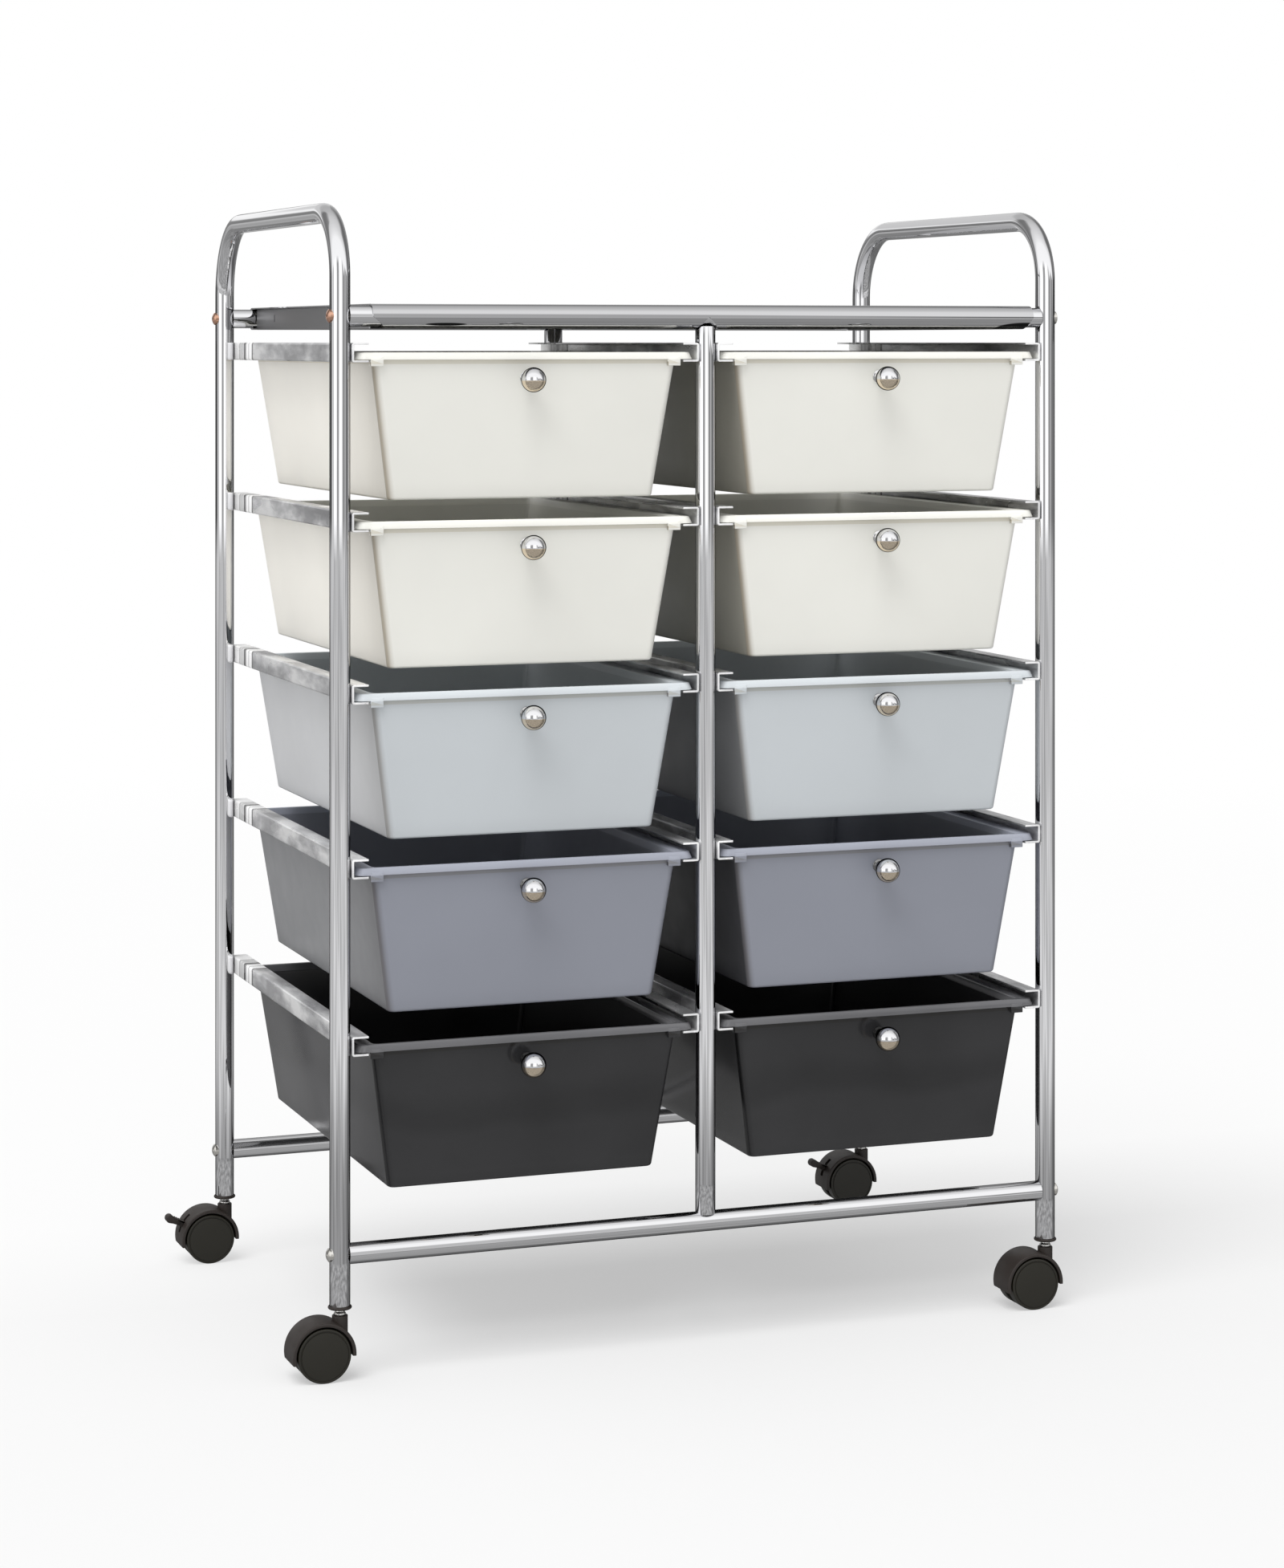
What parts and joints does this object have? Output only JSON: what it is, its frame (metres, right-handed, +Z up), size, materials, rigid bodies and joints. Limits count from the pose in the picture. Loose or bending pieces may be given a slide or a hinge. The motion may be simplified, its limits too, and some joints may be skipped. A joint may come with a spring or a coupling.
{
  "type": "rolling drawer cart",
  "caption": "Rolling drawer cart: chrome tube frame with hoop handles and a top shelf, tapered plastic drawers in steel runners, on twin-wheel casters.",
  "frame": {"origin": "on the floor, midway between the axes of the four posts", "axes": "+X to the right seen from the front, +Y to the back, +Z up"},
  "size_m": [0.6629, 0.4197, 0.9005],
  "materials": {
    "chrome_tube": "bright chrome plating on drawn tube",
    "chrome_sheet": "bright plated sheet",
    "runner_steel": "bright plated strip",
    "screw_steel": "warm tinted plating",
    "insert_steel": "plain turned steel",
    "stem_steel": "zinc plated steel",
    "black_plug": "satin black moulding",
    "ivory_plastic": "satin moulded polypropylene",
    "light_grey_plastic": "satin moulded polypropylene",
    "mid_grey_plastic": "satin moulded polypropylene",
    "charcoal_plastic": "glossy moulded polypropylene",
    "chrome_knob": "polished chrome plating",
    "black_hood": "satin black nylon",
    "black_wheel": "satin black nylon",
    "black_lever": "satin black nylon"
  },
  "bodies": {
    "frame": {"left_hoop": "chrome_tube", "right_hoop": "chrome_tube", "front_top_rail": "chrome_tube", "back_top_rail": "chrome_tube", "front_bottom_rail": "chrome_tube", "back_bottom_rail": "chrome_tube", "front_center_post": "chrome_tube", "back_center_post": "chrome_tube", "top_shelf": "chrome_sheet", "rail_screws": "screw_steel", "rail_inserts": "insert_steel", "post_plugs": "black_plug", "caster_stems": "stem_steel", "runners_1": "runner_steel", "runners_2": "runner_steel", "runners_3": "runner_steel", "runners_4": "runner_steel", "runners_5": "runner_steel"},
    "tray_left_1": {"drawer_left_1": "ivory_plastic", "knob_left_1": "chrome_knob"},
    "tray_left_2": {"drawer_left_2": "ivory_plastic", "knob_left_2": "chrome_knob"},
    "tray_left_3": {"drawer_left_3": "light_grey_plastic", "knob_left_3": "chrome_knob"},
    "tray_left_4": {"drawer_left_4": "mid_grey_plastic", "knob_left_4": "chrome_knob"},
    "tray_left_5": {"drawer_left_5": "charcoal_plastic", "knob_left_5": "chrome_knob"},
    "tray_right_1": {"drawer_right_1": "ivory_plastic", "knob_right_1": "chrome_knob"},
    "tray_right_2": {"drawer_right_2": "ivory_plastic", "knob_right_2": "chrome_knob"},
    "tray_right_3": {"drawer_right_3": "light_grey_plastic", "knob_right_3": "chrome_knob"},
    "tray_right_4": {"drawer_right_4": "mid_grey_plastic", "knob_right_4": "chrome_knob"},
    "tray_right_5": {"drawer_right_5": "charcoal_plastic", "knob_right_5": "chrome_knob"},
    "swivel_front_left": {"hood_front_left": "black_hood", "axle_front_left": "stem_steel"},
    "roller_front_left_near": {"wheel_front_left_near": "black_wheel"},
    "roller_front_left_far": {"wheel_front_left_far": "black_wheel"},
    "swivel_back_left": {"hood_back_left": "black_hood", "axle_back_left": "stem_steel"},
    "roller_back_left_near": {"wheel_back_left_near": "black_wheel"},
    "roller_back_left_far": {"wheel_back_left_far": "black_wheel"},
    "brake_back_left": {"brake_lever_back_left": "black_lever"},
    "swivel_front_right": {"hood_front_right": "black_hood", "axle_front_right": "stem_steel"},
    "roller_front_right_near": {"wheel_front_right_near": "black_wheel"},
    "roller_front_right_far": {"wheel_front_right_far": "black_wheel"},
    "swivel_back_right": {"hood_back_right": "black_hood", "axle_back_right": "stem_steel"},
    "roller_back_right_near": {"wheel_back_right_near": "black_wheel"},
    "roller_back_right_far": {"wheel_back_right_far": "black_wheel"},
    "brake_back_right": {"brake_lever_back_right": "black_lever"}
  },
  "joints": [
    {"name": "slide_left_1", "type": "slide", "parent": "frame", "child": "tray_left_1", "axis": [0, -1, 0], "range_m": [0, 0.3]},
    {"name": "slide_left_2", "type": "slide", "parent": "frame", "child": "tray_left_2", "axis": [0, -1, 0], "range_m": [0, 0.3]},
    {"name": "slide_left_3", "type": "slide", "parent": "frame", "child": "tray_left_3", "axis": [0, -1, 0], "range_m": [0, 0.3]},
    {"name": "slide_left_4", "type": "slide", "parent": "frame", "child": "tray_left_4", "axis": [0, -1, 0], "range_m": [0, 0.3]},
    {"name": "slide_left_5", "type": "slide", "parent": "frame", "child": "tray_left_5", "axis": [0, -1, 0], "range_m": [0, 0.3]},
    {"name": "slide_right_1", "type": "slide", "parent": "frame", "child": "tray_right_1", "axis": [0, -1, 0], "range_m": [0, 0.3]},
    {"name": "slide_right_2", "type": "slide", "parent": "frame", "child": "tray_right_2", "axis": [0, -1, 0], "range_m": [0, 0.3]},
    {"name": "slide_right_3", "type": "slide", "parent": "frame", "child": "tray_right_3", "axis": [0, -1, 0], "range_m": [0, 0.3]},
    {"name": "slide_right_4", "type": "slide", "parent": "frame", "child": "tray_right_4", "axis": [0, -1, 0], "range_m": [0, 0.3]},
    {"name": "slide_right_5", "type": "slide", "parent": "frame", "child": "tray_right_5", "axis": [0, -1, 0], "range_m": [0, 0.3]},
    {"name": "turn_front_left", "type": "hinge", "parent": "frame", "child": "swivel_front_left", "pos_m": [-0.3, -0.188, 0.043], "axis": [0, 0, 1], "continuous": true},
    {"name": "roll_front_left_near", "type": "hinge", "parent": "swivel_front_left", "child": "roller_front_left_near", "pos_m": [-0.3155, -0.1973, 0.0208], "axis": [0, 1, 0], "continuous": true},
    {"name": "roll_front_left_far", "type": "hinge", "parent": "swivel_front_left", "child": "roller_front_left_far", "pos_m": [-0.3155, -0.1787, 0.0208], "axis": [0, 1, 0], "continuous": true},
    {"name": "turn_back_left", "type": "hinge", "parent": "frame", "child": "swivel_back_left", "pos_m": [-0.3, 0.188, 0.043], "axis": [0, 0, 1], "continuous": true},
    {"name": "roll_back_left_near", "type": "hinge", "parent": "swivel_back_left", "child": "roller_back_left_near", "pos_m": [-0.3155, 0.1787, 0.0208], "axis": [0, 1, 0], "continuous": true},
    {"name": "roll_back_left_far", "type": "hinge", "parent": "swivel_back_left", "child": "roller_back_left_far", "pos_m": [-0.3155, 0.1973, 0.0208], "axis": [0, 1, 0], "continuous": true},
    {"name": "press_back_left", "type": "hinge", "parent": "swivel_back_left", "child": "brake_back_left", "pos_m": [-0.33022, 0.188, 0.0293], "axis": [0, -1, 0], "range_deg": [0, 16]},
    {"name": "turn_front_right", "type": "hinge", "parent": "frame", "child": "swivel_front_right", "pos_m": [0.3, -0.188, 0.043], "axis": [0, 0, 1], "continuous": true},
    {"name": "roll_front_right_near", "type": "hinge", "parent": "swivel_front_right", "child": "roller_front_right_near", "pos_m": [0.2845, -0.1973, 0.0208], "axis": [0, 1, 0], "continuous": true},
    {"name": "roll_front_right_far", "type": "hinge", "parent": "swivel_front_right", "child": "roller_front_right_far", "pos_m": [0.2845, -0.1787, 0.0208], "axis": [0, 1, 0], "continuous": true},
    {"name": "turn_back_right", "type": "hinge", "parent": "frame", "child": "swivel_back_right", "pos_m": [0.3, 0.188, 0.043], "axis": [0, 0, 1], "continuous": true},
    {"name": "roll_back_right_near", "type": "hinge", "parent": "swivel_back_right", "child": "roller_back_right_near", "pos_m": [0.2845, 0.1787, 0.0208], "axis": [0, 1, 0], "continuous": true},
    {"name": "roll_back_right_far", "type": "hinge", "parent": "swivel_back_right", "child": "roller_back_right_far", "pos_m": [0.2845, 0.1973, 0.0208], "axis": [0, 1, 0], "continuous": true},
    {"name": "press_back_right", "type": "hinge", "parent": "swivel_back_right", "child": "brake_back_right", "pos_m": [0.26978, 0.188, 0.0293], "axis": [0, -1, 0], "range_deg": [0, 16]}
  ]
}
